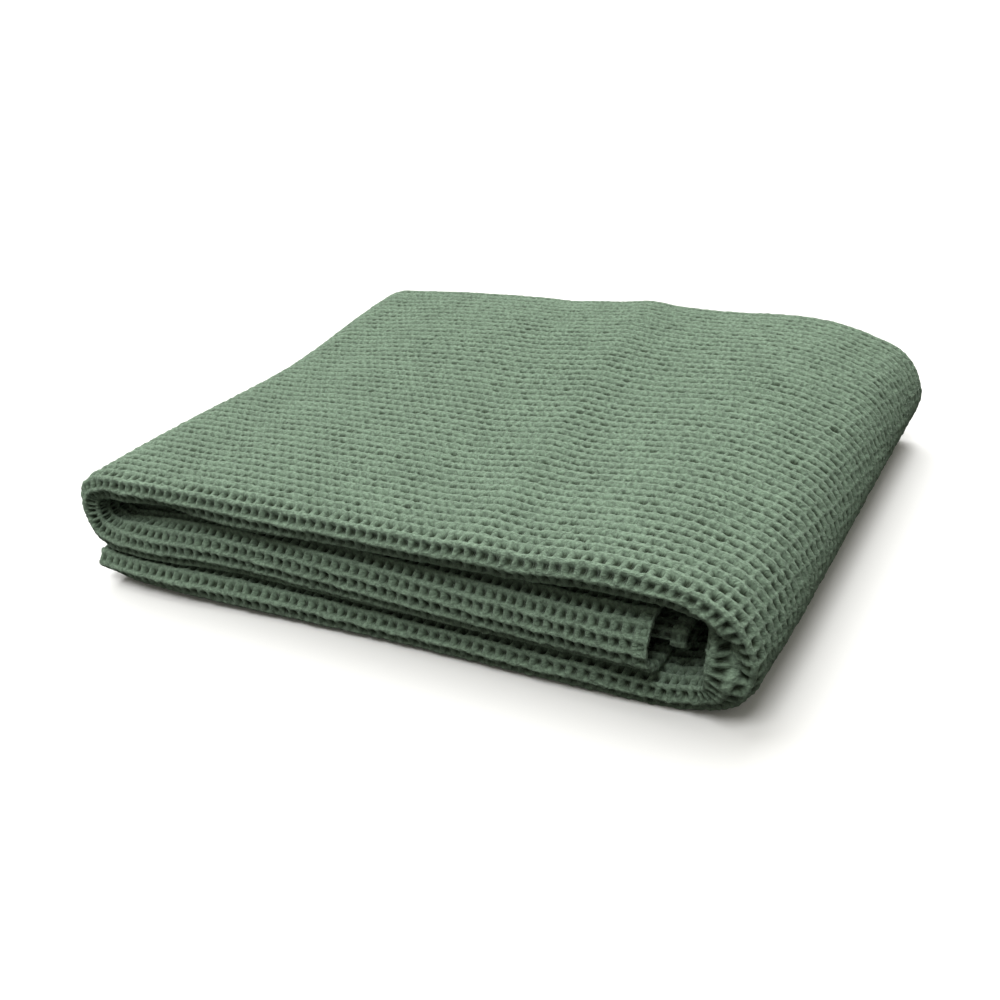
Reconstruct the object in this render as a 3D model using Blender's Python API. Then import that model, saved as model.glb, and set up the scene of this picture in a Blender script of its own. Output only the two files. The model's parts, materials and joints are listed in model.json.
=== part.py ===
"""Waffle weave cotton blanket, folded: one sheet of cloth as one closed solid.

The sheet is folded in half twice, which makes a strip of four plies, and the strip is
then turned back over itself and round its own inner end, which makes three layers.
Seen from the front (X to the right, Z up) the strip's centre line is a squared spiral.
Metres, +Z up. The front faces -Y, and the origin is under the middle of the folded
blanket, on the surface that it rests on.
"""
import bpy
import numpy as np

# ---------------------------------------------------------------- driving sizes
CELL = 0.0065           # one cell of the waffle weave; the tables below count in cells
PLY = 0.40              # thickness of the cloth
DEPTH = 47.6            # front edge to back edge of the folded blanket

# The strip's centre line, from its inner end to its outer end. A row with a radius is a
# half turn clockwise about its x and z. steps is the number of mesh steps to the next
# row, or over each eighth of a turn.
SPINE = (
    # name,            x,     z,   thickness, radius, steps
    ("inner end",     27.0,  5.25, 4.8,       0.0,    2),
    ("middle right",  14.0,  5.25, 5.0,       0.0,    3),
    ("middle",        -4.0,  5.20, 4.8,       0.0,    3),
    ("middle left",  -15.0,  5.25, 4.4,       0.0,    2),
    ("cave floor",   -26.0,  4.70, 3.2,       0.0,    2),
    ("left fold",    -29.0,  7.10, 2.5,       2.45,   3),
    ("cave roof",    -26.0,  9.65, 2.7,       0.0,    2),
    ("cave top",     -21.0, 10.00, 2.2,       0.0,    2),
    ("top left",     -15.0,  9.55, 3.3,       0.0,    3),
    ("top",           -2.0,  9.75, 2.8,       0.0,    3),
    ("top right",     12.0,  9.90, 2.4,       0.0,    3),
    ("right fold",    27.2,  5.48, 2.5,       4.23,   3),
    ("bottom right",  20.0,  1.30, 2.6,       0.0,    2),
    ("bottom",         8.0,  1.25, 2.5,       0.0,    2),
    ("bottom middle", -8.0,  1.35, 2.7,       0.0,    2),
    ("bottom left",  -22.0,  1.45, 2.9,       0.0,    2),
    ("outer end",    -31.3,  1.50, 3.0,       0.0,    0),
)
SPINE_SAMPLES = 24      # points worked out along the centre line for each mesh step

# Mesh steps along each part of the strip's own section.
RUN_STEPS = 5
FRONT_LIP_STEPS = 8
BACK_FOLD_STEPS = 5
INNER_LIP_STEPS = 5
INNER_LIP_SETBACK = 0.6   # the inner fold lies this much deeper than a snug fit
INNER_HEM_SETBACK = 0.7   # the inner back edge lies this much in front of the outer one
INNER_END_STAGGER = 2.0   # the two inner plies reach this much past the outer ones,
STAGGER_FADE = 18.0       # a shift that dies away over this much of the strip
STAGGER_MARGIN = 6.0      # and changes between this far from the front and from the back
JOINING_HEIGHT = -0.99    # the ply that joins outer to inner lies below this height

# How the blanket differs from an even stack: soft bumps that shift the cloth near a point.
UNEVEN = (
    # name,               centre x, y, z,      reach x, y, z,      shift x, y, z
    ("back crown",         0.0,  17.0, 11.0,   25.0, 15.0, 7.0,    0.0,  0.7,  1.3),
    ("back left corner", -28.0,  25.0,  9.0,   14.0, 12.0, 8.0,    0.3,  1.2,  0.7),
    ("back right corner", 31.0,  25.0, 10.0,   11.0, 12.0, 8.0,    0.0, -0.3, -0.6),
    ("left side",        -32.0,   4.0,  9.0,    9.0, 12.0, 9.0,    1.5,  0.0, -0.2),
    ("middle lip left",  -25.0, -24.0,  4.0,    9.0,  8.0, 2.6,    0.0, -0.8,  0.0),
    ("middle lip",         8.0, -24.0,  4.5,   20.0,  8.0, 2.5,    0.0, -0.3,  0.0),
    ("middle lip right",  27.0, -24.0,  4.0,    7.0,  7.0, 2.6,    0.0, -0.7,  0.0),
    ("bottom lip left",  -26.0, -26.0,  1.2,   18.0, 12.0, 1.7,    0.0, -1.5,  0.0),
    ("bottom lip tuck",  -28.0, -25.0,  0.0,   13.0, 10.0, 1.5,    0.7,  1.1,  0.0),
    ("bottom lip right",  12.0, -24.0,  0.5,   18.0,  8.0, 2.4,    0.0,  0.3,  0.0),
    ("front right corner", 29.0, -24.0, 1.0,    8.0, 10.0, 5.0,   -0.3,  1.0,  0.0),
    ("cave corner",       27.4, -23.0,  9.0,    2.2,  6.0, 1.7,    0.0,  0.0,  0.5),
    ("fold buckle",       29.8, -22.5,  5.4,    1.7,  4.0, 2.4,   -1.6, -0.3,  0.0),
)
LIFT_FROM = 2.5         # vertical shifts grow from nothing at the floor to full here
FLOOR_SNAP = 0.06       # points this low lie flat on the floor

GREEN = (0.135, 0.215, 0.150, 1.0)


# ---------------------------------------------------------------- the folded shape
def spine_rows():
    """The spine as points (x, z, thickness) with each half turn written out, and their steps."""
    points = []
    steps = []
    for _, x, z, thickness, radius, count in SPINE:
        angles = np.radians(np.arange(90, -91, -45)) + (np.pi if x < 0 else 0)
        turn = [(x + radius * np.cos(a), z + radius * np.sin(a), thickness) for a in angles]
        points.extend(turn if radius else [(x, z, thickness)])
        steps.extend([count] * (len(turn) if radius else 1))
    return np.array(points), steps


def spine_points(samples_per_step):
    """A smooth curve through the spine: x, z, thickness at even steps between its points."""
    rows, steps = spine_rows()
    chord = np.hypot(np.diff(rows[:, 0]), np.diff(rows[:, 1]))
    rise = np.diff(rows, axis=0) / chord[:, None]
    slope = np.empty_like(rows)
    weight = (chord[1:] / (chord[1:] + chord[:-1]))[:, None]
    slope[1:-1] = rise[:-1] * weight + rise[1:] * (1 - weight)
    slope[0] = 2 * rise[0] - slope[1]
    slope[-1] = 2 * rise[-1] - slope[-2]
    points = []
    for i, step_count in enumerate(steps[:-1]):
        s = np.linspace(0, 1, step_count * samples_per_step, endpoint=False)[:, None]
        points.append((2*s**3 - 3*s**2 + 1) * rows[i] + (s**3 - 2*s**2 + s) * chord[i] * slope[i]
                      + (3*s**2 - 2*s**3) * rows[i + 1] + (s**3 - s**2) * chord[i] * slope[i + 1])
    points.append(rows[-1:])
    return np.concatenate(points)


def spine_table():
    """Distance along the strip's outer ply, with x, z, ply offset and outward normal there."""
    x, z, thickness = spine_points(SPINE_SAMPLES).T
    along_x = np.gradient(x)
    along_z = np.gradient(z)
    length = np.hypot(along_x, along_z)
    out_x = -along_z / length
    out_z = along_x / length
    offset = (thickness - PLY) / 2
    outer_x = x + offset * out_x
    outer_z = z + offset * out_z
    distance = np.concatenate([[0], np.cumsum(np.hypot(np.diff(outer_x), np.diff(outer_z)))])
    return distance, x, z, offset, out_x, out_z


def strip_section():
    """The strip's own section, from the outer hem round three folds to the inner hem.

    Each row is (base y, y per ply offset, height in ply offsets); the outer ply lies at
    heights 1 and -1 and the inner ply at -1/3 and 1/3.
    """
    front = -DEPTH / 2 + PLY / 2
    back = DEPTH / 2 - PLY / 2
    inner = front + INNER_LIP_SETBACK
    lip_turn = np.linspace(0, np.pi, FRONT_LIP_STEPS + 1)
    back_turn = np.linspace(0, np.pi, BACK_FOLD_STEPS + 1)
    inner_turn = np.linspace(0, np.pi, INNER_LIP_STEPS + 1)
    corners = [
        [(DEPTH / 2, 0, 1)],
        [(front, 1 - np.sin(a), np.cos(a)) for a in lip_turn],
        [(back, (np.sin(a) - 1) / 3, -(2 + np.cos(a)) / 3) for a in back_turn],
        [(inner, 1 - np.sin(a) / 3, -np.cos(a) / 3) for a in inner_turn],
        [(DEPTH / 2 - INNER_HEM_SETBACK, 0, 1 / 3)],
    ]
    rows = list(corners[0])
    for turn in corners[1:]:
        run = np.linspace(rows[-1], turn[0], RUN_STEPS + 1)[1:-1]
        rows.extend(tuple(r) for r in run)
        rows.extend(turn)
    return np.array(rows)


def smooth(t):
    t = np.clip(t, 0, 1)
    return t * t * (3 - 2 * t)


def uneven(points):
    """Shift points by the soft bumps; nothing leaves the floor."""
    shifted = points.copy()
    lift = smooth(points[..., 2] / LIFT_FROM)
    for _, cx, cy, cz, rx, ry, rz, sx, sy, sz in UNEVEN:
        away = (points - (cx, cy, cz)) / (rx, ry, rz)
        weight = np.exp(-(away ** 2).sum(axis=-1))
        shifted[..., 0] += weight * sx
        shifted[..., 1] += weight * sy
        shifted[..., 2] += weight * sz * lift
    return shifted


def outer_share(section):
    """1 on the outer ply, 0 on the inner one; it changes along the ply that joins them."""
    base, _, height = section.T
    joining = smooth((DEPTH / 2 - STAGGER_MARGIN - base) / (DEPTH - 2 * STAGGER_MARGIN))
    in_lip = np.arange(len(base)) < RUN_STEPS + FRONT_LIP_STEPS
    on_joining_ply = height < JOINING_HEIGHT
    return np.where(on_joining_ply, joining, np.where(in_lip, 1.0, 0.0))


def middle_surface(along, section):
    """Points of the cloth's middle for distances along the strip and rows of its section."""
    distance, x, z, offset, out_x, out_z = spine_table()
    base, per_offset, height = section.T
    fade = 1 - smooth(along / STAGGER_FADE)
    at = along[:, None] + INNER_END_STAGGER * fade[:, None] * outer_share(section)[None, :]
    r = np.interp(at, distance, offset)
    flat = np.stack([
        np.interp(at, distance, x) + height * r * np.interp(at, distance, out_x),
        base + per_offset * r,
        np.interp(at, distance, z) + height * r * np.interp(at, distance, out_z),
    ], axis=-1)
    return uneven(flat)


def surface_normals(points):
    """Unit normals that point out of the strip from its outer ply."""
    along_strip = np.gradient(points, axis=0)
    along_section = np.gradient(points, axis=1)
    normal = np.cross(along_section, along_strip)
    return normal / np.linalg.norm(normal, axis=-1, keepdims=True)


def closed_sheet(outside, inside):
    """Vertices and quads of a closed sheet between two grids of points."""
    rows, columns = outside.shape[:2]
    vertices = np.concatenate([outside.reshape(-1, 3), inside.reshape(-1, 3)])

    def out(i, j):
        return i * columns + j

    def back(i, j):
        return rows * columns + i * columns + j

    faces = []
    for i in range(rows - 1):
        for j in range(columns - 1):
            faces.append((out(i, j), out(i, j + 1), out(i + 1, j + 1), out(i + 1, j)))
            faces.append((back(i, j), back(i + 1, j), back(i + 1, j + 1), back(i, j + 1)))
        end = columns - 1
        faces.append((out(i, 0), out(i + 1, 0), back(i + 1, 0), back(i, 0)))
        faces.append((out(i, end), back(i, end), back(i + 1, end), out(i + 1, end)))
    for j in range(columns - 1):
        end = rows - 1
        faces.append((out(0, j), back(0, j), back(0, j + 1), out(0, j + 1)))
        faces.append((out(end, j), out(end, j + 1), back(end, j + 1), back(end, j)))
    return vertices, faces


# ---------------------------------------------------------------- the object
def cotton_material():
    material = bpy.data.materials.new("green cotton")
    material.use_nodes = True
    shader = material.node_tree.nodes["Principled BSDF"]
    shader.inputs["Base Color"].default_value = GREEN
    shader.inputs["Roughness"].default_value = 0.95
    shader.inputs["Metallic"].default_value = 0.0
    return material


def build_blanket():
    mesh_lines = spine_table()[0][::SPINE_SAMPLES]
    middle = middle_surface(mesh_lines, strip_section())
    normal = surface_normals(middle)
    outside = middle + normal * PLY / 2
    inside = middle - normal * PLY / 2
    height = outside[..., 2]
    height[height < FLOOR_SNAP] = 0.0
    vertices, faces = closed_sheet(outside * CELL, inside * CELL)
    middle_x = (vertices[:, 0].min() + vertices[:, 0].max()) / 2
    middle_y = (vertices[:, 1].min() + vertices[:, 1].max()) / 2
    vertices = vertices - (middle_x, middle_y, 0.0)

    mesh = bpy.data.meshes.new("blanket")
    mesh.from_pydata(vertices.tolist(), [], faces)
    mesh.materials.append(cotton_material())
    mesh.update()
    blanket = bpy.data.objects.new("blanket", mesh)
    bpy.context.scene.collection.objects.link(blanket)
    return blanket


for old in list(bpy.data.objects):
    bpy.data.objects.remove(old, do_unlink=True)
build_blanket()
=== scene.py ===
# %% [markdown]
# # A folded waffle weave blanket
#
# This lesson builds a cotton blanket as it lies on a shelf: one sheet of waffle weave,
# folded in half twice into a strip of four plies, and the strip folded again into three
# layers. Everything is in metres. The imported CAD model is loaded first, as the frame that
# every piece has to stay in.

# %% Load the frame
import json
import math
import bpy
import numpy as np
from mathutils import Matrix, Vector

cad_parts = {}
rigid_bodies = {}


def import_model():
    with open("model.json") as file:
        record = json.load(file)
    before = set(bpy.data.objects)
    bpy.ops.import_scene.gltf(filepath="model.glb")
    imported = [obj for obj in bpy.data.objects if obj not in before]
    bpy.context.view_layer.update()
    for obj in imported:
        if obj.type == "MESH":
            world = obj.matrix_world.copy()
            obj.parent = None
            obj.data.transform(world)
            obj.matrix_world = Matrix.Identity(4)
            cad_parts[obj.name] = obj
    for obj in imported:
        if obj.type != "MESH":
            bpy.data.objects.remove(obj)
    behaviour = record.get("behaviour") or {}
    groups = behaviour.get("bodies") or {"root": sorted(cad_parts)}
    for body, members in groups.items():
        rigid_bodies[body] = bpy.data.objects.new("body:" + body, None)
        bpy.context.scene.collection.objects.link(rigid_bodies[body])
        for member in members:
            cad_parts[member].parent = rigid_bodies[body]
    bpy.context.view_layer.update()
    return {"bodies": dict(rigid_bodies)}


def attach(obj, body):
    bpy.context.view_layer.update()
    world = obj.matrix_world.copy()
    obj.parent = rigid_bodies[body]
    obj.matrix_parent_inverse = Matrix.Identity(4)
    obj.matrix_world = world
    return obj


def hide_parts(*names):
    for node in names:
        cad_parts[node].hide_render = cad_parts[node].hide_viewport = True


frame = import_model()
BODY = list(frame["bodies"])[0]

# %% [markdown]
# ## Sizes
#
# A waffle weave is a grid of square cells, each a pit with ribs round it, so the cell is
# the natural unit for everything here: the tables below count in cells, and one number
# turns them into metres.

# %% Sizes of the cloth
CELL = 0.0065           # width of one waffle cell
PLY = 0.40              # thickness of the cloth, in cells
DEPTH = 47.6            # front edge to back edge of the folded blanket, in cells

# %% [markdown]
# ## The path of the strip
#
# Seen from the front, the strip of four plies is a squared spiral. A short table of named
# rows says where its centre line runs and how thick the four plies are there. A row with
# a radius is a half turn. The same numbers shaped the CAD solid, so the thin sheet here
# lies on the solid's own folds.

# %% Centre line of the strip
SPINE = (
    # name,            x,     z,   thickness, radius
    ("inner end",     27.0,  5.25, 4.8,       0.0),
    ("middle right",  14.0,  5.25, 5.0,       0.0),
    ("middle",        -4.0,  5.20, 4.8,       0.0),
    ("middle left",  -15.0,  5.25, 4.4,       0.0),
    ("cave floor",   -26.0,  4.70, 3.2,       0.0),
    ("left fold",    -29.0,  7.10, 2.5,       2.45),
    ("cave roof",    -26.0,  9.65, 2.7,       0.0),
    ("cave top",     -21.0, 10.00, 2.2,       0.0),
    ("top left",     -15.0,  9.55, 3.3,       0.0),
    ("top",           -2.0,  9.75, 2.8,       0.0),
    ("top right",     12.0,  9.90, 2.4,       0.0),
    ("right fold",    27.2,  5.48, 2.5,       4.23),
    ("bottom right",  20.0,  1.30, 2.6,       0.0),
    ("bottom",         8.0,  1.25, 2.5,       0.0),
    ("bottom middle", -8.0,  1.35, 2.7,       0.0),
    ("bottom left",  -22.0,  1.45, 2.9,       0.0),
    ("outer end",    -31.3,  1.50, 3.0,       0.0),
)
SPINE_SAMPLES = 64      # points worked out between two rows


def spine_rows():
    """The spine as points (x, z, thickness), with each half turn written out."""
    points = []
    for _, x, z, thickness, radius in SPINE:
        angles = np.radians(np.arange(90, -91, -45)) + (np.pi if x < 0 else 0)
        turn = [(x + radius * np.cos(a), z + radius * np.sin(a), thickness) for a in angles]
        points.extend(turn if radius else [(x, z, thickness)])
    return np.array(points)


def spine_points():
    """A smooth curve through the spine's points."""
    rows = spine_rows()
    chord = np.hypot(np.diff(rows[:, 0]), np.diff(rows[:, 1]))
    rise = np.diff(rows, axis=0) / chord[:, None]
    slope = np.empty_like(rows)
    weight = (chord[1:] / (chord[1:] + chord[:-1]))[:, None]
    slope[1:-1] = rise[:-1] * weight + rise[1:] * (1 - weight)
    slope[0] = 2 * rise[0] - slope[1]
    slope[-1] = 2 * rise[-1] - slope[-2]
    s = np.linspace(0, 1, SPINE_SAMPLES, endpoint=False)[:, None]
    points = [(2*s**3 - 3*s**2 + 1) * rows[i] + (s**3 - 2*s**2 + s) * chord[i] * slope[i]
              + (3*s**2 - 2*s**3) * rows[i + 1] + (s**3 - s**2) * chord[i] * slope[i + 1]
              for i in range(len(chord))]
    return np.concatenate(points + [rows[-1:]])


def spine_table():
    """Distance along the outer ply, with x, z, ply offset and outward direction there."""
    x, z, thickness = spine_points().T
    along_x = np.gradient(x)
    along_z = np.gradient(z)
    length = np.hypot(along_x, along_z)
    out_x = -along_z / length
    out_z = along_x / length
    offset = (thickness - PLY) / 2
    steps = np.hypot(np.diff(x + offset * out_x), np.diff(z + offset * out_z))
    return np.concatenate([[0], np.cumsum(steps)]), x, z, offset, out_x, out_z


TABLE = spine_table()
STRIP_LENGTH = TABLE[0][-1]
print(f"the strip is {STRIP_LENGTH:.1f} cells long, {STRIP_LENGTH * CELL:.2f} m of cloth")

# %% [markdown]
# ## The section of the strip
#
# Cut across, the strip is a sheet folded in half twice: the outer ply runs from its hem at
# the back to the front, turns in a round lip, comes back, turns again at the back, and the
# inner two plies lie inside the first two. Each stretch is a straight run or a half
# circle, so a distance along the cloth gives a place in the section directly. That keeps
# the cells of the weave the same size all the way round, as in real cloth.

# %% Section of the strip
FRONT = -DEPTH / 2 + PLY / 2
BACK = DEPTH / 2 - PLY / 2
INNER_LIP_SETBACK = 0.6
INNER_HEM_SETBACK = 0.7
SHEET_WIDTH = 191.0     # the cloth's size across the strip, in cells
SLACK_FROM, SLACK_OVER = 102.0, 80.0    # where the sheet's spare width is taken up
INNER_END_STAGGER = 2.0     # the inner plies reach this much past the outer ones
STAGGER_FADE = 18.0
STAGGER_MARGIN = 6.0


def smooth(t):
    t = np.clip(t, 0, 1)
    return t * t * (3 - 2 * t)


def strip_section(down, r):
    """Depth y and height h in the section, for distances from the outer hem and ply offset r."""
    inner = FRONT + INNER_LIP_SETBACK
    lengths = [DEPTH / 2 - FRONT - r, math.pi * r, BACK - FRONT - 4 * r / 3, math.pi * r / 3,
               BACK - inner - 4 * r / 3, math.pi * r / 3,
               DEPTH / 2 - INNER_HEM_SETBACK - inner - r]
    total = sum(lengths)
    s = down + (total - SHEET_WIDTH) * smooth((down - SLACK_FROM) / SLACK_OVER)
    starts = np.cumsum([np.zeros_like(r)] + lengths, axis=0)
    which = sum((s >= start).astype(int) for start in starts[1:-1])
    t = s - np.choose(which, list(starts[:-1]))
    lip = t / r
    small = 3 * t / r
    y = np.choose(which, [DEPTH / 2 - t, FRONT + r * (1 - np.sin(lip)), FRONT + r + t,
                          BACK + r / 3 * (np.sin(small) - 1), BACK - r / 3 - t,
                          inner + r - r / 3 * np.sin(small), inner + r + t])
    h = np.choose(which, [r, r * np.cos(lip), -r, -r * (2 + np.cos(small)) / 3, -r / 3,
                          -r / 3 * np.cos(small), r / 3])
    joining = smooth((DEPTH / 2 - STAGGER_MARGIN - y) / (DEPTH - 2 * STAGGER_MARGIN))
    return y, h, np.choose(which, [1, 1, joining, 0, 0, 0, 0])


print(f"the sheet is {SHEET_WIDTH:.0f} cells the other way, {SHEET_WIDTH * CELL:.2f} m")

# %% [markdown]
# ## Unevenness
#
# Nobody folds a blanket into a perfect stack. Soft bumps shift the cloth near a point:
# the crown of the top, corners that lift or sink, lips that slide forward. The CAD solid
# has the same bumps, apart from "bottom lip end", which rounds a corner only here. Creases
# are the same idea along a line on the top: a narrow ridge or trough with soft sides.
# Wrinkles are short lines on the front lips, where the cloth bunches up in the fold.

# %% Bumps, creases and wrinkles
UNEVEN = (
    # name,               centre x, y, z,      reach x, y, z,      shift x, y, z
    ("back crown",         0.0,  17.0, 11.0,   25.0, 15.0, 7.0,    0.0,  0.7,  1.3),
    ("back left corner", -28.0,  25.0,  9.0,   14.0, 12.0, 8.0,    0.3,  1.2,  0.7),
    ("back right corner", 31.0,  25.0, 10.0,   11.0, 12.0, 8.0,    0.0, -0.3, -0.6),
    ("left side",        -32.0,   4.0,  9.0,    9.0, 12.0, 9.0,    1.5,  0.0, -0.2),
    ("middle lip left",  -25.0, -24.0,  4.0,    9.0,  8.0, 2.6,    0.0, -0.8,  0.0),
    ("middle lip",         8.0, -24.0,  4.5,   20.0,  8.0, 2.5,    0.0, -0.3,  0.0),
    ("middle lip right",  27.0, -24.0,  4.0,    7.0,  7.0, 2.6,    0.0, -0.7,  0.0),
    ("bottom lip left",  -26.0, -26.0,  1.2,   18.0, 12.0, 1.7,    0.0, -1.5,  0.0),
    ("bottom lip tuck",  -28.0, -25.0,  0.0,   13.0, 10.0, 1.5,    0.7,  1.1,  0.0),
    ("bottom lip end",   -31.5, -24.0,  0.4,    3.0,  4.0, 1.4,    1.0,  0.5,  0.2),
    ("bottom lip right",  12.0, -24.0,  0.5,   18.0,  8.0, 2.4,    0.0,  0.3,  0.0),
    ("front right corner", 29.0, -24.0, 1.0,    8.0, 10.0, 5.0,   -0.3,  1.0,  0.0),
    ("cave corner",       27.4, -23.0,  9.0,    2.2,  6.0, 1.7,    0.0,  0.0,  0.5),
    ("fold buckle",       29.8, -22.5,  5.4,    1.7,  4.0, 2.4,   -1.6, -0.3,  0.0),
)
CREASES = (
    # name,          from x, y,      to x, y,      width, height
    ("long ridge",   11.2, -20.0,    5.0, 23.0,    2.4,   0.38),
    ("long trough",   3.5, -14.0,   -4.5, 23.0,    2.6,  -0.22),
    ("left trough", -21.0, -16.0,  -24.5, 20.0,    3.0,  -0.18),
)
CREASES_ABOVE = 8.5     # creases are on the top layer only
WRINKLES = (
    # name,          from x, z,      to x, z,     width, depth
    ("fold corner",  29.3, 7.9,      30.9, 6.8,   0.55,  0.8),
    ("fold pleat",   30.9, 6.8,      31.5, 5.2,   0.55,  1.05),
)
WRINKLES_BEFORE = -19.0     # wrinkles are on the front lips only
LINE_ENDS = 2.0         # a line fades past its ends over this many widths
LIFT_FROM = 2.5         # bumps lift only what is above the floor, in full from here


def beside_line(a, b, line, width):
    """1 on a line between two places, falling softly to 0 at its sides and past its ends."""
    a0, b0, a1, b1 = line
    length = math.hypot(a1 - a0, b1 - b0)
    along = ((a - a0) * (a1 - a0) + (b - b0) * (b1 - b0)) / length
    beside = ((a - a0) * (b1 - b0) - (b - b0) * (a1 - a0)) / length
    beyond = np.clip(np.maximum(-along, along - length), 0, None)
    return np.exp(-(beside / width) ** 2 - (beyond / (LINE_ENDS * width)) ** 2)


def uneven(points):
    """Shift points, in cells, by the bumps, creases and wrinkles; the base stays down."""
    shifted = points.copy()
    lift = smooth(points[..., 2] / LIFT_FROM)
    for _, cx, cy, cz, rx, ry, rz, sx, sy, sz in UNEVEN:
        away = (points - (cx, cy, cz)) / (rx, ry, rz)
        weight = np.exp(-(away ** 2).sum(axis=-1))
        shifted[..., 0] += weight * sx
        shifted[..., 1] += weight * sy
        shifted[..., 2] += weight * sz * lift
    top = smooth((points[..., 2] - CREASES_ABOVE) / 2)
    for _, *line, width, height in CREASES:
        on_line = beside_line(points[..., 0], points[..., 1], line, width)
        shifted[..., 2] += top * height * on_line
    front = smooth((WRINKLES_BEFORE - points[..., 1]) / 2)
    for _, *line, width, depth in WRINKLES:
        on_line = beside_line(points[..., 0], points[..., 2], line, width)
        shifted[..., 1] += front * depth * on_line
    return shifted


# %% [markdown]
# ## One function for the whole sheet
#
# `sheet_at` takes places on the flat cloth, in cells, and gives places in the folded
# blanket. Two things make it cloth and not paper: the weave runs slightly askew across the
# top, because the blanket was not folded quite square, and at its four edges the surface
# turns round the hem, so the cloth has a thickness that can be seen.

# %% From flat cloth to folded cloth
SKEW = 0.17             # how far the weave drifts sideways for each cell of depth
LIP = 47.0              # the front lip lies about this far from the outer hem
SKEW_ENDS = 62.0        # the drift stays the same past this distance from the outer hem
SKEW_GROWS = 50.0       # the drift grows over this much of the strip
SKEW_FADES = (140.0, 190.0)
ROW_DRIFTS = (
    # name,         centre along, across,  reach along, across,  rows
    ("middle right",   2.0,  50.0,          24.0, 12.0,           1.3),
    ("bottom left",  190.0,  50.0,          30.0, 12.0,          -0.6),
)
HEM_SIDE = PLY / 2
WRAP = math.pi * HEM_SIDE
LEAN_PASSES = 4         # the lean depends on the place, so it is worked out a few times
LEAN_SAMPLES = 800
NORMAL_STEP = 0.05      # how far to each side the surface is felt for its direction


def skew_share(along):
    """How much of the sideways drift the strip has at a distance along it."""
    fades = smooth((along - SKEW_FADES[0]) / (SKEW_FADES[1] - SKEW_FADES[0]))
    return smooth(along / SKEW_GROWS) - fades


def round_edge(t, end):
    """Place on the cloth and side of it, 1 outside and -1 inside, also past an edge."""
    over = np.where(t < 0, -t, np.where(t > end, t - end, 0.0))
    angle = np.minimum(over / HEM_SIDE, math.pi)
    inward = HEM_SIDE * (1 - np.sin(angle)) + np.maximum(over - WRAP, 0)
    place = np.where(t < 0, inward, np.where(t > end, end - inward, t))
    return place, np.cos(angle)


def middle_of_ply(along, down):
    """Points of the middle of the cloth, in cells, for distances along and across the strip."""
    distance, x, z, offset, out_x, out_z = TABLE
    lean = SKEW * (np.minimum(down, SKEW_ENDS) - LIP)
    for _, middle_u, middle_v, reach_u, reach_v, rows in ROW_DRIFTS:
        away = ((along - middle_u) / reach_u) ** 2 + ((down - middle_v) / reach_v) ** 2
        down = down - rows * np.exp(-away)
    grid = np.linspace(0, STRIP_LENGTH, LEAN_SAMPLES)
    share = skew_share(grid)
    true_along = along - lean * np.interp(along, grid, share)
    for _ in range(LEAN_PASSES):
        true_along = along - lean * np.interp(true_along, grid, share)
    r = np.interp(true_along, distance, offset)
    _, _, outer = strip_section(down, r)
    at = true_along + INNER_END_STAGGER * (1 - smooth(true_along / STAGGER_FADE)) * outer
    r = np.interp(at, distance, offset)
    y, h, _ = strip_section(down, r)
    flat = np.stack([np.interp(at, distance, x) + h * np.interp(at, distance, out_x), y,
                     np.interp(at, distance, z) + h * np.interp(at, distance, out_z)], axis=-1)
    return uneven(flat)


def sheet_at(along, down):
    """Points on the face of the folded sheet and the direction out of the cloth, in cells."""
    place_u, side_u = round_edge(along, STRIP_LENGTH)
    place_v, side_v = round_edge(down, SHEET_WIDTH)
    middle = middle_of_ply(place_u, place_v)
    u_low = np.maximum(place_u - NORMAL_STEP, 0)
    u_high = np.minimum(place_u + NORMAL_STEP, STRIP_LENGTH)
    v_low = np.maximum(place_v - NORMAL_STEP, 0)
    v_high = np.minimum(place_v + NORMAL_STEP, SHEET_WIDTH)
    across_u = middle_of_ply(u_high, place_v) - middle_of_ply(u_low, place_v)
    across_v = middle_of_ply(place_u, v_high) - middle_of_ply(place_u, v_low)
    normal = np.cross(across_v, across_u)
    normal /= np.linalg.norm(normal, axis=-1, keepdims=True)
    out = normal * np.minimum(side_u, side_v)[..., None]
    return middle + out * PLY / 2, out


whole_u, whole_v = np.meshgrid(np.linspace(0, STRIP_LENGTH, 900),
                               np.linspace(0, SHEET_WIDTH, 400), indexing="ij")
shape = sheet_at(whole_u, whole_v)[0].reshape(-1, 3)
MIDDLE = (shape.min(axis=0) + shape.max(axis=0)) / 2 * (1, 1, 0)
print("the stack is", np.round((shape.max(axis=0) - shape.min(axis=0)) * CELL, 4))

# %% [markdown]
# ## Lines of the mesh
#
# A pit needs six mesh lines each way to be clear: the middle of the rib, then its slope,
# the middle of the pit and the slope on the other side. Where nobody can look, one or two
# lines a cell are plenty, so each piece of the sheet gets lines that suit what shows of it.

# %% Mesh lines
FINE = (0.0, 0.16, 0.32, 0.50, 0.68, 0.84)
PLAIN = (0.0, 0.5)
COARSE = (0.0,)
HEM = 1.0               # width of a hem, in cells
HEM_WAFFLE = 0.75       # share of the waffle's relief that is left on a hem
HEM_LINES = FINE + (1.0, 1.16, 1.32, 1.5, 1.68, 1.84)
TURN_LINES = tuple(WRAP * k / 4 for k in range(1, 5)) + (WRAP + 0.8, WRAP + HEM)


def lines(*runs):
    """Mesh lines for runs of (first cell, last cell, places in each cell)."""
    found = [cell + place for first, last, places in runs
             for cell in range(first, last) for place in places]
    return found + [float(runs[-1][1])]


def with_hem_start(found):
    """The same lines with a hem and the turn round its edge in front of them."""
    return [-t for t in reversed(TURN_LINES)] + list(HEM_LINES) + [t for t in found if t >= 2]


def with_hem_end(found, end):
    """The same lines with a hem and the turn round its edge after them."""
    return [t for t in found if t <= end - 2] + [end - t for t in reversed(HEM_LINES)] \
        + [end + t for t in TURN_LINES]


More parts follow.
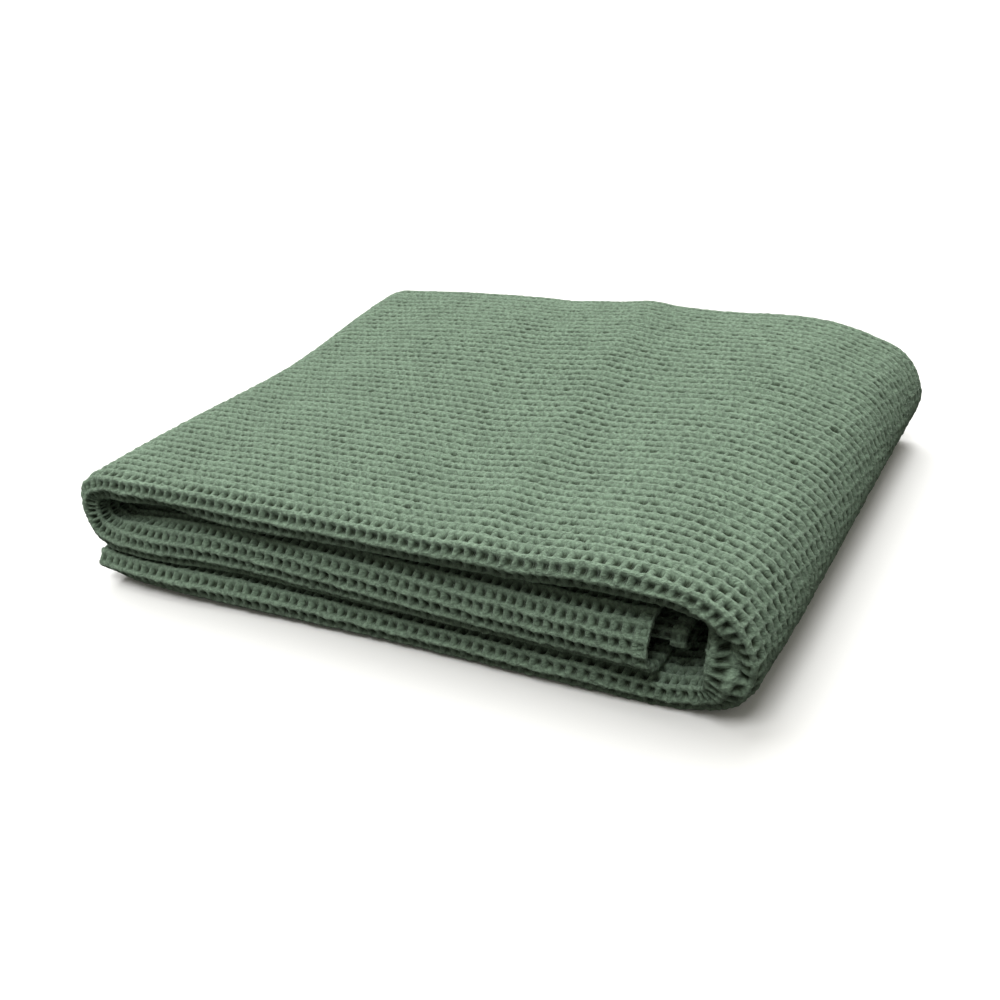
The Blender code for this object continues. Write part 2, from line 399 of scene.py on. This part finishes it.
LAST_U = int(STRIP_LENGTH)
print("a fine cell has", len(FINE) ** 2 * 2, "triangles")

# %% [markdown]
# ## A piece of the sheet
#
# Each piece is a grid of quads. It keeps the cloth's own coordinates as its UV map, in
# cells, so that any pattern can follow the folds. It also keeps, at each point, the
# direction out of the cloth and how much of the waffle relief shows there: a little less
# on a hem, which is turned over and stitched, and none where the mesh is too coarse.

# %% Make a piece
LIP_MIDDLE, LIP_REACH = 51.0, 6.0       # the front lip, in cells from the outer hem


def inside_edge(along, down):
    """Distance from the nearest edge of the cloth, in cells."""
    return np.minimum(np.minimum(along, STRIP_LENGTH - along),
                      np.minimum(down, SHEET_WIDTH - down))


def relief_at(along, down):
    """1 where the waffle shows in full, less on the hems, where the cloth is doubled."""
    full = smooth((inside_edge(along, down) - HEM - 0.1) / 0.5)
    return HEM_WAFFLE + (1 - HEM_WAFFLE) * full


def hem_at(along, down):
    """1 on the hems, which are a little thicker, 0 elsewhere."""
    return 1 - smooth((inside_edge(along, down) - HEM + 0.2) / 0.4)


def stretch_at(down):
    """1 where the cloth is stretched round the front lip and its pits open, 0 elsewhere; in the
    colour it also widens the painted shade in the pits.
    """
    return np.exp(-((down - LIP_MIDDLE) / LIP_REACH) ** 2)


def cloth_piece(name, u_lines, v_lines, fine):
    """A grid of quads between mesh lines, with the cloth's facts kept at its points."""
    u, v = np.meshgrid(np.array(u_lines), np.array(v_lines), indexing="ij")
    face, out = sheet_at(u, v)
    rows, columns = u.shape
    points = (face.reshape(-1, 3) - MIDDLE) * CELL
    index = np.arange(rows * columns).reshape(rows, columns)
    quads = np.stack([index[:-1, :-1], index[:-1, 1:], index[1:, 1:], index[1:, :-1]], axis=-1)
    quads = quads.reshape(-1, 4)
    mesh = bpy.data.meshes.new(name)
    mesh.from_pydata(points.tolist(), [], quads.tolist())
    weave = mesh.uv_layers.new(name="weave")
    flat = np.stack([u.ravel(), v.ravel()], axis=-1)
    weave.data.foreach_set("uv", flat[quads.ravel()].astype(np.float32).ravel())
    facts = {"cell_u": u, "cell_v": v, "waffle": relief_at(u, v),
             "relief": relief_at(u, v) * fine, "hem": hem_at(u, v), "stretch": stretch_at(v)}
    for key, value in facts.items():
        attribute = mesh.attributes.new(key, "FLOAT", "POINT")
        attribute.data.foreach_set("value", value.astype(np.float32).ravel())
    direction = mesh.attributes.new("out", "FLOAT_VECTOR", "POINT")
    direction.data.foreach_set("vector", out.astype(np.float32).ravel())
    mesh.polygons.foreach_set("use_smooth", np.ones(len(quads), bool))
    piece = bpy.data.objects.new(name, mesh)
    bpy.context.scene.collection.objects.link(piece)
    print(f"{name}: {2 * len(quads)} triangles")
    return piece


# %% [markdown]
# ## The waffle relief
#
# The relief repeats cell after cell, which is just what Geometry Nodes are good at. The
# tree reads the cloth's coordinates, works out where a point lies in its cell, and moves
# it in or out along the direction that the piece carries. Across a rib the height falls
# softly from a crest to the floor of the pit, and where the cloth is stretched the row ribs
# get thinner. A little noise makes every pit slightly different. The seed is fixed, so each
# run gives the same cloth. Last, nothing is left below the floor.

# %% Node helpers
ROW_RIB = (             # each pair is a distance from the rib, and what stretching adds to it
    (0.17, -0.11),      # level to here
    (0.45, -0.06),      # down at the pit's floor here
    1.0,                # height
)
CROSS_RIB = ((0.03, 0.09), (0.31, 0.09), 0.82)
RIB_BLEND = 0.12        # how softly the two kinds of rib run into each other


def node(tree, kind, inputs=None, **settings):
    """A new node with its settings and inputs, each a value or another socket."""
    made = tree.nodes.new(kind)
    for key, value in settings.items():
        setattr(made, key, value)
    for key, value in (inputs or {}).items():
        if isinstance(value, bpy.types.NodeSocket):
            tree.links.new(value, made.inputs[key])
        else:
            made.inputs[key].default_value = value
    return made


def sums(tree, operation, *values, clamp=False):
    """The result of a Math node."""
    return node(tree, "ShaderNodeMath", dict(enumerate(values)), operation=operation,
                use_clamp=clamp).outputs[0]


def waffle_height(tree, u, v, stretch):
    """1 on a row rib, a little less on the ribs across it, and 0 on the floor of a pit."""
    heights = []
    for coordinate, (crest, crest_opens), (foot, foot_opens), share in (
            (v, *ROW_RIB), (u, *CROSS_RIB)):
        in_cell = sums(tree, "FRACT", coordinate)
        off_centre = sums(tree, "ABSOLUTE", sums(tree, "SUBTRACT", in_cell, 0.5))
        off_rib = sums(tree, "SUBTRACT", 0.5, off_centre)
        limits = {0: off_rib, 1: sums(tree, "MULTIPLY_ADD", stretch, crest_opens, crest),
                  2: sums(tree, "MULTIPLY_ADD", stretch, foot_opens, foot), 3: share, 4: 0.0}
        slope = node(tree, "ShaderNodeMapRange", limits, interpolation_type="SMOOTHSTEP")
        heights.append(slope.outputs[0])
    return sums(tree, "SMOOTH_MAX", *heights, RIB_BLEND)


print("helpers ready")

# %% The waffle relief tree
CELL_NOISE, BROAD_NOISE, RIB_NOISE = 0.7, 0.09, 2.6     # noise scales, per cell
LEVEL = 0.8             # this height on a rib stays on the cloth's smooth surface
STRETCH_DEEPENS = 0.20  # shares of the pit depth: added where the cloth is stretched,
VARIES = 0.7            # left to chance,
LEAST = 0.34            # and always there


def waffle_tree():
    """Geometry nodes that push the ribs out and the pits in."""
    tree = bpy.data.node_groups.new("waffle relief", "GeometryNodeTree")
    tree.interface.new_socket("Geometry", in_out="INPUT", socket_type="NodeSocketGeometry")
    for name, value in (("Cell", CELL), ("Pit depth", 0.46), ("Wobble", 0.18),
                        ("Roughness", 0.16), ("Hem rise", 0.06), ("Seed", 4.0)):
        socket = tree.interface.new_socket(name, in_out="INPUT", socket_type="NodeSocketFloat")
        socket.default_value = value
    tree.interface.new_socket("Material", in_out="INPUT", socket_type="NodeSocketMaterial")
    tree.interface.new_socket("Geometry", in_out="OUTPUT", socket_type="NodeSocketGeometry")
    given = node(tree, "NodeGroupInput").outputs

    def attribute(name, kind="FLOAT"):
        made = node(tree, "GeometryNodeInputNamedAttribute", {"Name": name},
                    data_type=kind)
        return next(s for s in made.outputs if s.enabled and s.name == "Attribute")

    u, v = attribute("cell_u"), attribute("cell_v")
    place = node(tree, "ShaderNodeCombineXYZ", {"X": u, "Y": v, "Z": given["Seed"]}).outputs[0]

    def noise(scale, detail):
        return node(tree, "ShaderNodeTexNoise",
                    {"Vector": place, "Scale": scale, "Detail": detail}).outputs

    shake = node(tree, "ShaderNodeSeparateXYZ", {0: noise(CELL_NOISE, 1.0)["Color"]}).outputs

    def shaken(coordinate, amount):
        moved = sums(tree, "MULTIPLY", sums(tree, "SUBTRACT", amount, 0.5), given["Wobble"])
        return sums(tree, "ADD", coordinate, sums(tree, "MULTIPLY", moved, 2.0))

    stretch = attribute("stretch")
    rib = waffle_height(tree, shaken(u, shake[0]), shaken(v, shake[1]), stretch)
    pull = sums(tree, "ADD", shake[2], noise(BROAD_NOISE, 1.0)[0])
    share = sums(tree, "ADD", sums(tree, "MULTIPLY", stretch, STRETCH_DEEPENS),
                 sums(tree, "MULTIPLY_ADD", pull, VARIES, LEAST))
    depth = sums(tree, "MULTIPLY", given["Pit depth"], share)
    rough = sums(tree, "SUBTRACT", noise(RIB_NOISE, 2.0)[0], 0.5)
    uneven_rib = sums(tree, "MULTIPLY", rough, given["Roughness"])
    height = sums(tree, "ADD", sums(tree, "MULTIPLY", sums(tree, "SUBTRACT", rib, LEVEL), depth),
                  sums(tree, "MULTIPLY", uneven_rib, 2.0))
    height = sums(tree, "MULTIPLY", height, attribute("relief"))
    hem_height = sums(tree, "MULTIPLY", attribute("hem"), given["Hem rise"])
    height = sums(tree, "ADD", height, hem_height)
    height = sums(tree, "MULTIPLY", height, given["Cell"])
    offset = node(tree, "ShaderNodeVectorMath",
                  {0: attribute("out", "FLOAT_VECTOR"), "Scale": height},
                  operation="SCALE").outputs[0]
    moved = node(tree, "GeometryNodeSetPosition",
                 {"Geometry": given["Geometry"], "Offset": offset}).outputs[0]
    point = node(tree, "GeometryNodeInputPosition").outputs[0]
    on_floor = node(tree, "ShaderNodeVectorMath", {0: point, 1: (-1.0, -1.0, 0.0)},
                    operation="MAXIMUM").outputs[0]
    rested = node(tree, "GeometryNodeSetPosition",
                  {"Geometry": moved, "Position": on_floor}).outputs[0]
    real = node(tree, "GeometryNodeRealizeInstances", {"Geometry": rested}).outputs[0]
    finish = node(tree, "GeometryNodeSetMaterial",
                  {"Geometry": real, "Material": given["Material"]}).outputs[0]
    node(tree, "NodeGroupOutput", {"Geometry": finish})
    return tree


def plain_mesh(piece):
    """The piece's evaluated result as its plain mesh, with the modifier gone."""
    evaluated = piece.evaluated_get(bpy.context.evaluated_depsgraph_get())
    result = bpy.data.meshes.new_from_object(evaluated)
    piece.modifiers.clear()
    old = piece.data
    piece.data = result
    bpy.data.meshes.remove(old)
    piece.data.name = piece.name
    return piece


WAFFLE = waffle_tree()
print("waffle relief tree:", len(WAFFLE.nodes), "nodes")

# %% [markdown]
# ## The cotton
#
# Sage green cotton yarn, in a colour that is even but never flat. The ribs are fuzzy and
# catch the light. The pits are painted much darker, as painted shade for the shadow in them.
# Noise stretched along the yarn stands for its threads: fine ones run over the cells, and
# thicker floats lie on the ribs. Loose fibres give a soft sheen at grazing angles. All of it
# reads the UV map in cells, so it follows the folds. The coarse pieces have no relief, so a
# second material paints their pits as bump.

# %% The cotton material
RIB_COLOUR = (0.222, 0.312, 0.228, 1.0)
# painted shade: this dark colour in the pits stands for the shadow that falls in them
PAINTED_PIT_SHADE = (0.024, 0.036, 0.019, 1.0)
THREADS = (7.0, 1.3)    # threads in one cell, along the strip and across it
FLOATS = (3.0, 4.5)     # the same for the floats on the ribs
YARN_LIGHT = (0.64, 1.36)       # the yarn's brightness, between low and high noise
BROAD_LIGHT = (0.95, 1.05)      # brightness of wide soft patches
NOISE_LOW, NOISE_HIGH = 0.38, 0.62      # nearly all of the noise lies between these
YARN_BUMP = 0.0024      # metres
PIT_BUMP = 0.0018


def cotton(name, woven_bump):
    """Waffle cotton; woven_bump paints the pits as bump too, for pieces with a coarse mesh."""
    material = bpy.data.materials.new(name)
    material.use_nodes = True
    tree = material.node_tree
    shader = tree.nodes["Principled BSDF"]
    shader.inputs["Roughness"].default_value = 0.92
    shader.inputs["Specular IOR Level"].default_value = 0.15
    shader.inputs["Sheen Weight"].default_value = 0.35
    shader.inputs["Sheen Roughness"].default_value = 0.45
    shader.inputs["Sheen Tint"].default_value = (0.62, 0.78, 0.64, 1.0)
    weave = node(tree, "ShaderNodeUVMap", uv_map="weave").outputs[0]
    where = node(tree, "ShaderNodeSeparateXYZ", {0: weave}).outputs

    def noise(scale_u, scale_v, detail):
        place = node(tree, "ShaderNodeVectorMath", {0: weave, 1: (scale_u, scale_v, 1.0)},
                     operation="MULTIPLY").outputs[0]
        inputs = {"Vector": place, "Scale": 1.0, "Detail": detail, "Roughness": 0.65}
        return node(tree, "ShaderNodeTexNoise", inputs).outputs[0]

    def spread(value, low, high):
        limits = {0: value, 1: NOISE_LOW, 2: NOISE_HIGH, 3: low, 4: high}
        return node(tree, "ShaderNodeMapRange", limits).outputs[0]

    waffle = node(tree, "ShaderNodeAttribute", attribute_name="waffle").outputs["Fac"]
    stretch = node(tree, "ShaderNodeAttribute", attribute_name="stretch").outputs["Fac"]
    rib = waffle_height(tree, where[0], where[1], stretch)
    pit = sums(tree, "MULTIPLY", sums(tree, "SUBTRACT", 1.0, rib), waffle)
    threads = noise(*THREADS, 3.0)
    floats = noise(*FLOATS, 4.0)
    yarn = node(tree, "ShaderNodeMix", {0: pit, 2: floats, 3: threads}).outputs[0]
    # painted shade: the pit mask mixes the dark pit colour over the dyed rib colour
    dye_and_pit_shade = node(tree, "ShaderNodeMix", {0: pit, 6: RIB_COLOUR, 7: PAINTED_PIT_SHADE},
                data_type="RGBA").outputs[2]
    light = spread(yarn, *YARN_LIGHT)
    broad = spread(noise(0.22, 0.22, 2.0), *BROAD_LIGHT)
    colour = node(tree, "ShaderNodeVectorMath",
                  {0: dye_and_pit_shade, "Scale": sums(tree, "MULTIPLY", light, broad)},
                  operation="SCALE").outputs[0]
    tree.links.new(colour, shader.inputs["Base Color"])

    bump = node(tree, "ShaderNodeBump",
                {"Height": yarn, "Strength": 1.0, "Distance": YARN_BUMP})
    if woven_bump:
        deep = node(tree, "ShaderNodeBump",
                    {"Height": pit, "Strength": 0.9, "Distance": PIT_BUMP}, invert=True)
        tree.links.new(deep.outputs[0], bump.inputs["Normal"])
    tree.links.new(bump.outputs[0], shader.inputs["Normal"])
    return material


COTTON = cotton("sage cotton", False)
PLAIN_COTTON = cotton("sage cotton, plain mesh", True)
print("materials:", COTTON.name, "/", PLAIN_COTTON.name)

# %% [markdown]
# ## The pieces
#
# It is one sheet, but one mesh of it would be far too heavy, so it is made as bands that
# meet on the crest of a rib, where the join can't be seen: the top in two halves, the lips
# at the front, what can be seen inside the caves, the folds and hems at the back, and the
# plain parts that lie hidden between the layers or under the stack.

# %% Make the bands
TOP_FIRST, TOP_LAST = 50, 142           # the stretch of strip on the sides and top
TOP_MIDDLE = 22                         # where the two halves of the top meet
COARSE_FROM = 8                         # past this the hidden plies get one line a cell
LIP_FIRST, LIP_LAST = 45, 58            # the front lips, counted from the outer hem
BACK_FIRST, BACK_LAST = 93, 101         # the folds at the back
INNER_HEM_FROM = 188                    # the hem of the ply inside the strip

all_fine = with_hem_end(with_hem_start(lines((0, LAST_U, FINE))), STRIP_LENGTH)
hidden = lines((0, COARSE_FROM, FINE), (COARSE_FROM, LAST_U, COARSE))
all_coarse = with_hem_end(with_hem_start(hidden), STRIP_LENGTH)
all_plain = with_hem_end(with_hem_start(lines((0, LAST_U, PLAIN))), STRIP_LENGTH)
top_fine = lines((TOP_FIRST, TOP_LAST, FINE))
first_plain = with_hem_start(lines((0, TOP_FIRST, PLAIN)))
last_plain = with_hem_end(lines((TOP_LAST, LAST_U, PLAIN)), STRIP_LENGTH)
under = with_hem_start(lines((0, LIP_FIRST, PLAIN)))
inner_hem = with_hem_end(lines((INNER_HEM_FROM, int(SHEET_WIDTH), FINE)), SHEET_WIDTH)

BANDS = (
    # name, lines along, lines across, fine relief
    ("top_front", top_fine, lines((TOP_MIDDLE, LIP_FIRST, FINE)), 1.0),
    ("top_back", top_fine, with_hem_start(lines((0, TOP_MIDDLE, FINE))), 1.0),
    ("front_lips", all_fine, lines((LIP_FIRST, LIP_LAST, FINE)), 1.0),
    ("cave_cloth", all_plain, lines((LIP_LAST, BACK_FIRST, PLAIN)), 0.0),
    ("back_folds", all_fine, lines((BACK_FIRST, BACK_LAST, FINE)), 1.0),
    ("inner_plies", all_coarse, lines((BACK_LAST, INNER_HEM_FROM, COARSE)), 0.0),
    ("inner_hem", all_fine, inner_hem, 1.0),
    ("middle_underside", first_plain, under, 0.0),
    ("base", last_plain, under, 0.0),
)

sockets = {item.name: item.identifier for item in WAFFLE.interface.items_tree
           if item.in_out == "INPUT"}
pieces = {}
for band, along, across, fine in BANDS:
    piece = cloth_piece("blanket_" + band, along, across, fine)
    relief = piece.modifiers.new("waffle relief", "NODES")
    relief.node_group = WAFFLE
    relief[sockets["Material"]] = COTTON if fine else PLAIN_COTTON
    plain_mesh(piece)
    pieces[band] = (piece, along, across)

# %% [markdown]
# ## Floor, light and camera
#
# A plain pale floor and soft light from above, as in a studio. Soft light matters for cloth:
# a hard lamp would draw every rib with a black line, so both lamps are suns with a wide
# angle. Two choices keep the gaps between the layers dark. The room gets darker towards the
# ground, and the floor sends no light back up. The camera sees the room as plain white.

# %% Floor and light
FLOOR_REACH = 60.0
FLOOR_DROP = 0.0004     # just under the cloth, so that the two don't share a plane
FLOOR_WHITE = 0.9

corners = [(x * FLOOR_REACH, y * FLOOR_REACH, 0)
           for x, y in ((-1, -1), (1, -1), (1, 1), (-1, 1))]
floor_mesh = bpy.data.meshes.new("floor")
floor_mesh.from_pydata(corners, [], [(0, 1, 2, 3)])
floor = bpy.data.objects.new("floor", floor_mesh)
floor.location.z = -FLOOR_DROP
bpy.context.scene.collection.objects.link(floor)
pale = bpy.data.materials.new("pale floor")
pale.use_nodes = True
paint = pale.node_tree.nodes["Principled BSDF"].inputs
paint["Base Color"].default_value = (FLOOR_WHITE, FLOOR_WHITE, FLOOR_WHITE, 1.0)
paint["Roughness"].default_value = 0.9
floor_mesh.materials.append(pale)
floor.visible_diffuse = False   # no light comes up from the floor

LIGHTS = (
    # name,       from x, y, z,         strength, spread in degrees
    ("overhead",  -0.45, 0.40, 1.0,     2.6,      60.0),
    ("front",      0.10, -0.38, 1.0,    1.6,      25.0),
)
for name, x, y, z, strength, angle in LIGHTS:
    lamp = bpy.data.lights.new(name, "SUN")
    lamp.energy = strength
    lamp.angle = math.radians(angle)
    holder = bpy.data.objects.new(name, lamp)
    holder.rotation_euler = Vector((-x, -y, -z)).to_track_quat("-Z", "Y").to_euler()
    bpy.context.scene.collection.objects.link(holder)

# %% The room
ROOM_COLOUR = (1.0, 0.98, 0.86, 1.0)
ROOM_LOW, ROOM_HIGH = (-0.1, 0.03), (0.8, 0.51)     # height of a direction, and its glow

world = bpy.data.worlds.new("studio")
world.use_nodes = True
sky = world.node_tree
direction = node(sky, "ShaderNodeTexCoord").outputs["Generated"]
height = node(sky, "ShaderNodeSeparateXYZ", {0: direction}).outputs[2]
glow = node(sky, "ShaderNodeMapRange", {0: height, 1: ROOM_LOW[0], 2: ROOM_HIGH[0],
                                        3: ROOM_LOW[1], 4: ROOM_HIGH[1]}).outputs[0]
room = node(sky, "ShaderNodeBackground", {"Color": ROOM_COLOUR, "Strength": glow}).outputs[0]
white = {"Color": (1.0, 1.0, 1.0, 1.0), "Strength": 1.0}
backdrop = node(sky, "ShaderNodeBackground", white).outputs[0]
seen = node(sky, "ShaderNodeLightPath").outputs["Is Camera Ray"]
mixed = node(sky, "ShaderNodeMixShader", {0: seen, 1: room, 2: backdrop}).outputs[0]
sky.links.new(mixed, sky.nodes["World Output"].inputs["Surface"])
bpy.context.scene.world = world
bpy.context.scene.view_settings.view_transform = "Standard"

# %% [markdown]
# ## Camera
#
# The camera stands in front and to the right and looks down on the stack. It is placed by
# the directions that it looks in, with its distance counted in cells, and is turned a
# little about its own axis.

# %% Camera
AZIMUTH, ELEVATION, ROLL = (math.radians(a) for a in (34.3, 28.1, -8.3))
DISTANCE = 102.3        # in cells, as are the next three
AIM_HEIGHT = 6.0
ASIDE, ALOFT = -1.27, -4.61
LENS = 38.7             # millimetres

look = Vector((-math.sin(AZIMUTH) * math.cos(ELEVATION),
               math.cos(AZIMUTH) * math.cos(ELEVATION), -math.sin(ELEVATION)))
level = Vector((math.cos(AZIMUTH), math.sin(AZIMUTH), 0))
upward = level.cross(look)
right = math.cos(ROLL) * level + math.sin(ROLL) * upward
above = -math.sin(ROLL) * level + math.cos(ROLL) * upward
aim = level * ASIDE + upward * ALOFT + Vector((0, 0, AIM_HEIGHT)) - Vector(MIDDLE)
eye = aim - look * DISTANCE
lens = bpy.data.cameras.new("camera")
lens.lens = LENS
lens.sensor_width = 36
camera = bpy.data.objects.new("camera", lens)
turn = Matrix((right, above, -look)).transposed().to_4x4()
camera.matrix_world = Matrix.Translation(eye * CELL) @ turn
bpy.context.scene.collection.objects.link(camera)
bpy.context.scene.camera = camera
print("camera at", [round(v, 3) for v in camera.location])

# %% [markdown]
# ## Hand over to the frame
#
# Each band rides on the blanket's one body, and the CAD solid is then hidden.

for band, (piece, along, across) in pieces.items():
    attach(piece, BODY)
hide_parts("blanket")
